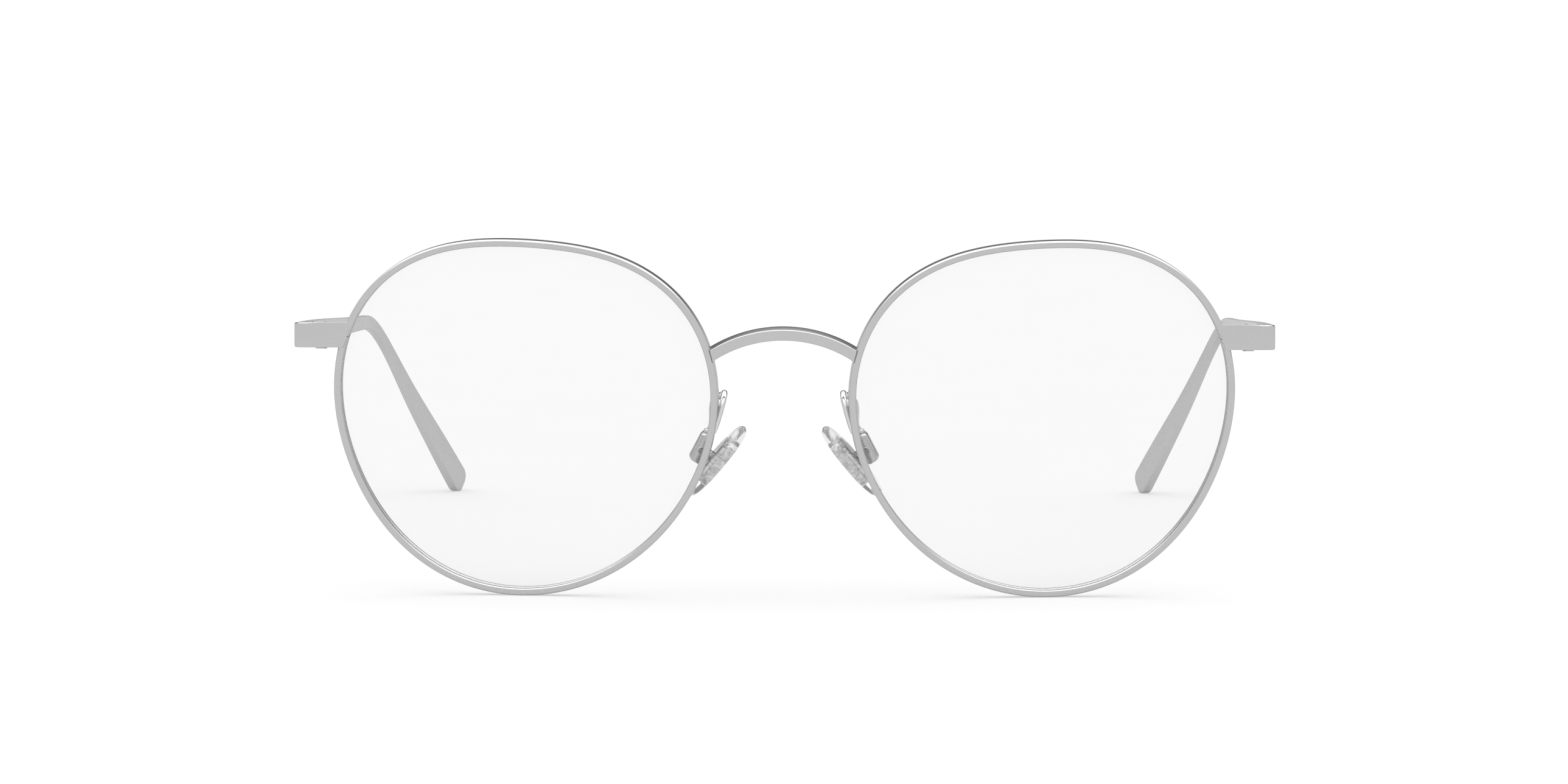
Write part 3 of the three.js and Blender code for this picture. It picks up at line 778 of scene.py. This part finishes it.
def noseFrame(slope, at):
    # x runs down the pad, y away from the nose, z forwards
    slope = math.radians(slope)
    columns = Matrix((
        (math.sin(slope), math.cos(slope), 0, 0),
        (0, 0, -1, 0),
        (-math.cos(slope), math.sin(slope), 0, 0),
        (0, 0, 0, 1),
    ))
    return Matrix.Translation(at) @ rotateZ(-pad["splay"]) @ columns


padLocal = noseFrame(pad["slope"], byNose(pad["x"], -pad["below"], pad["behind"]))
padFrame = frontFrame @ padLocal
padPivot = Vector((0, pad["pivotOut"], 0))
holderFrame = frontFrame @ noseFrame(holder["slope"], padLocal @ padPivot)


def padShape():
    # a crowned oval, flattened a little in the middle of each face
    half = pad["thickness"] / 2
    profile = [(0, -half * (1 - pad["crown"]))]
    for i in range(1, 40):
        turn = math.pi * i / 40
        out = math.sin(turn) ** pad["fullness"]
        profile.append((out, -half * math.cos(turn) * (1 - pad["crown"] * (1 - math.sin(turn) ** 2) ** 3)))
    profile.append((0, half * (1 - pad["crown"])))
    oval = lathe(profile, 96, lambda x, y, z: (x * pad["length"] / 2, y, z * pad["width"] / 2))
    return placed(oval, padFrame)


def insertShape():
    # a plate with turned-up lips and ribs, two studs, and the post on its foot
    half, lip, soft = insert["thickness"] / 2, insert["lip"], insert["softening"]
    flat = Matrix.Translation((0, half, 0)) @ rotateX(-90)
    length, width = insert["length"], insert["width"]
    plan = roundCorners(rectangle(length, width), insert["corner"], 8)
    base = prism(plan, -2 * half - insert["fill"], 0, 0.12)
    walls = []
    for side in (-1, 1):
        lips, ribs = ((width - lip) / 2, length - 1.6 * insert["corner"]), (width / 4, length * 0.8)
        for across, reach in (lips, ribs):
            bar = roundCorners(rectangle(reach, lip, (0, side * across)), 0.12, 3)
            walls.append(prism(bar, -0.05, insert["lipHeight"], 0.07))
    postHalf, top = insert["postWidth"] / 2, pad["pivotOut"] + insert["pastPivot"]
    corner = postHalf - 0.05
    section = roundCorners([(-postHalf, 0), (postHalf, 0), (postHalf, top), (-postHalf, top)],
                           [0, 0, corner, corner], 8)
    thickness = holder["depth"] - 2 * holder["sheet"] - 0.1
    post = prism(section, -thickness / 2, thickness / 2, soft)
    foot = prism(circle(insert["foot"], 40), 0, insert["footHeight"], 0.1)
    stud = prism(circle(insert["stud"], 28), 0, insert["studHeight"], 0.1)
    studs = [placed(stud, Matrix.Translation((x, 0, 0))) for x in (-insert["studOut"], insert["studOut"])]
    plate = placed(joined(base, *walls), flat)
    fittings = placed(joined(foot, *studs), flat)
    return placed(joined(plate, post, fittings), padFrame)


band = {"width": 3.1, "height": 1.35, "corner": 0.3, "ring": 0.22, "apart": 0.5, "lift": 0.12, "fromEnd": 0.3}


def bandShape():
    # a polished band round the plate, near its upper end
    turn = Matrix.Rotation(math.radians(90), 4, "Y") @ rotateZ(90)
    place = padFrame @ Matrix.Translation((band["fromEnd"] - insert["length"] / 2, band["lift"], 0)) @ turn
    outer = roundCorners(rectangle(band["height"], band["width"]), band["corner"], 5)
    rings = [prism(outer, low, low + band["ring"], 0.08) for low in (0, band["apart"])]
    return placed(joined(prism(inset(outer, 0.16), 0.1, 0.6, 0.02), *rings), place)


def holderShape():
    # sheet folded into a trough with soft ends, open towards the pad, and a lid at its upper end
    left, right = -holder["abovePivot"], holder["length"] - holder["abovePivot"]
    low, half, sheet, corner = -holder["towardsPad"], holder["depth"] / 2, holder["sheet"], holder["corner"]
    turns = [math.radians(angle) for angle in (0, 18, 36, 54, 72, 90)]
    drawnIn = [corner * (1 - math.cos(turn)) for turn in turns]
    fromEnd = [corner * (1 - math.sin(turn)) for turn in turns]
    # how far along, and how far the edges there are drawn in
    stations = [(left + along, drawn) for along, drawn in zip(reversed(fromEnd), reversed(drawnIn))]
    stations += [(right - along, drawn) for along, drawn in zip(fromEnd, drawnIn)]
    bend, soft = holder["bend"], 0.05
    rings = []
    for i, (x, drawn) in enumerate(stations):
        slim = 0.07 if i in (0, len(stations) - 1) else 0
        high, near = holder["pastPivot"] - drawn, low + min(drawn, 0.25)
        outHalf, inHigh, inHalf = half - slim, high - sheet + slim, half - sheet + slim
        outer = roundCorners([(near, -outHalf), (high, -outHalf), (high, outHalf), (near, outHalf)],
                             [soft, bend, bend, soft], 9)
        inner = roundCorners([(near, inHalf), (inHigh, inHalf), (inHigh, -inHalf), (near, -inHalf)],
                             [soft, bend - sheet, bend - sheet, soft], 9)
        rings.append([Vector((x, p.x, p.y)) for p in outer + inner])
    topEnd = roundCorners(rectangle(holder["lidWidth"], 2 * (half - sheet) + 0.1), 0.3, 5)
    onEnd = Matrix.Rotation(math.radians(90), 4, "Y") @ rotateZ(90)
    lidPlace = Matrix.Translation((left + 0.05, low + holder["lidAt"], 0)) @ onEnd
    lid = placed(prism(topEnd, 0, sheet, 0.08), lidPlace)
    return placed(joined(loft(rings), lid), holderFrame)


def pinShape(reach):
    # a riveted pin: a ring round a dimpled middle on the front, a plain head behind
    back = [(0, -0.12), (0.42, -0.12), (0.5, -0.04), (0.5, 0.1), (0.36, 0.1)]
    front = [(0.36, -0.1), (0.56, -0.1), (0.58, 0.1), (0.52, 0.15), (0.44, 0.14), (0.38, 0.03), (0.30, 0.03),
             (0.26, 0.12), (0.14, 0.12), (0.08, 0), (0, -0.01)]
    profile = [(radius, along - reach) for radius, along in back]
    profile += [(radius, along + reach) for radius, along in front]
    return placed(lathe(profile, 40, lambda x, y, z: (x, z, y)), holderFrame)


arm = {
    "radius": 0.43, "flare": 0.15, "collar": 0.62, "collarLength": 0.5,
    "entryX": 0.02 - holder["abovePivot"], "entryY": 0.4, "leadIn": 1.35,
    "loop": [(9.4, -1.9, -0.75), (8.7, 0.1, -0.4), (8.1, 2.1, 0.4), (7.9, 3.1, 1.5), (8.1, 3, 2.7),
             (9.5, 1.5, 3.9)],
}


def armPath():
    # from the back of the rim, up and round the loop, then down into the holder
    knots = [frontFrame @ byNose(*knot) for knot in arm["loop"]]
    knots += [holderFrame @ Vector((arm["entryX"] - back, arm["entryY"], 0)) for back in (arm["leadIn"], 0)]
    return smoothCurve(knots, 14)


def armShape():
    path = armPath()
    radii = []
    for i in range(len(path)):
        rounded = math.sqrt(1 - max(0, 1 - i / 6) ** 2)
        atHolder = max(0, 1 - (len(path) - 1 - i) / 8) ** 2
        radii.append(arm["radius"] * (0.15 + 0.85 * rounded + arm["flare"] * atHolder))
    return wire(path, radii)


def collarShape():
    # a bead of solder where the arm enters the holder
    onArm = Matrix.Translation((arm["entryX"], arm["entryY"], 0)) @ Matrix.Rotation(math.radians(-90), 4, "Y")
    return placed(prism(circle(arm["collar"], 36), 0, arm["collarLength"], 0.13), holderFrame @ onArm)


makePair("nose_pad", padShape(), padClear, "pad", sharp=60)
makePair("pad_insert", insertShape(), castCorePaintedGlints, "pad")
makePair("pad_band", bandShape(), brightSilver, "pad", node=False)
makePair("pad_holder", holderShape(), castSilver)
makePair("pad_arm", armShape(), brightSilver)
makePair("pad_collar", collarShape(), brightSilver, node=False)
pinProud = 0.02
makePair("pad_screw", pinShape(holder["depth"] / 2 + pinProud), screwSteel)
print("nose pads made")

studio = {
    "floorSize": 60, "floor": 0.33, "speck": 0.01, "glow": 0.475,
    "surround": 1.0, "overhead": 2.3, "backdrop": 0.1,
    "overheadUp": (0.55, 0.72), "overheadAlong": (0.75, 0.5),
    "backdropAlong": (0.4, 0.75), "backdropTop": (0.6, 0.38), "backdropFoot": (0.08, 0.2),
}


def makeFloor():
    mesh = bpy.data.meshes.new("floor")
    corners = [(x, y, 0) for x, y in rectangle(studio["floorSize"], studio["floorSize"])]
    mesh.from_pydata(corners, [], [(0, 1, 2, 3)])
    finish = Finish("pale floor")
    speck = finish.grain(30, 2)
    mesh.materials.append(finish.surface({
        "Base Color": finish.tint(grey(studio["floor"]), grey(studio["floor"] + studio["speck"]), speck),
        "Roughness": 0.9,
        "Specular IOR Level": 0.0,
        "Emission Color": (1, 1, 1, 1),
        "Emission Strength": studio["glow"],
    }))
    floor = bpy.data.objects.new("floor", mesh)
    bpy.context.collection.objects.link(floor)


def makeStudioLight():
    # an even pale surround, a wide soft box overhead, and a dim strip low behind the glasses
    world = bpy.data.worlds.new("studio")
    light = Finish("studio", world)

    def fade(value, start, end):
        # 0 at start, 1 at end, whichever of them is the higher
        return light.node("ShaderNodeMapRange", {"interpolation_type": "SMOOTHSTEP"},
                          {"Value": value, "From Min": start, "From Max": end})

    way = light.node("ShaderNodeTexCoord", out="Generated")
    along, up = (light.node("ShaderNodeSeparateXYZ", sockets={"Vector": way}, out=axis) for axis in "YZ")
    overhead = fade(up, *studio["overheadUp"]) * fade(along, *studio["overheadAlong"])
    backdrop = (fade(along, *studio["backdropAlong"]) * fade(up, *studio["backdropTop"])
                * fade(up, *studio["backdropFoot"]))
    level = (studio["surround"] + overhead * (studio["overhead"] - studio["surround"])
             + backdrop * (studio["backdrop"] - studio["surround"]))
    back = light.node("ShaderNodeBackground", sockets={"Color": (1, 1, 1, 1), "Strength": level})
    light.node("ShaderNodeOutputWorld", sockets={"Surface": back})
    bpy.context.scene.world = world


viewCamera = {"place": (0.01385, -0.82301, 0.09054), "turn": -1.049, "down": 4.778, "roll": 0.086,
              "lens": 130.80, "sensor": 36, "nearest": 0.01, "farthest": 200}


def makeCamera():
    data = bpy.data.cameras.new("camera")
    data.sensor_width = viewCamera["sensor"]
    data.lens = viewCamera["lens"]
    data.clip_start, data.clip_end = viewCamera["nearest"], viewCamera["farthest"]
    camera = bpy.data.objects.new("camera", data)
    facing = rotateZ(-viewCamera["turn"]) @ rotateX(90 - viewCamera["down"]) @ rotateZ(viewCamera["roll"])
    camera.matrix_world = Matrix.Translation(viewCamera["place"]) @ facing
    bpy.context.collection.objects.link(camera)
    bpy.context.scene.camera = camera


makeFloor()
makeStudioLight()
makeCamera()
bpy.context.scene.view_settings.view_transform = "Standard"
print("stage and camera made")
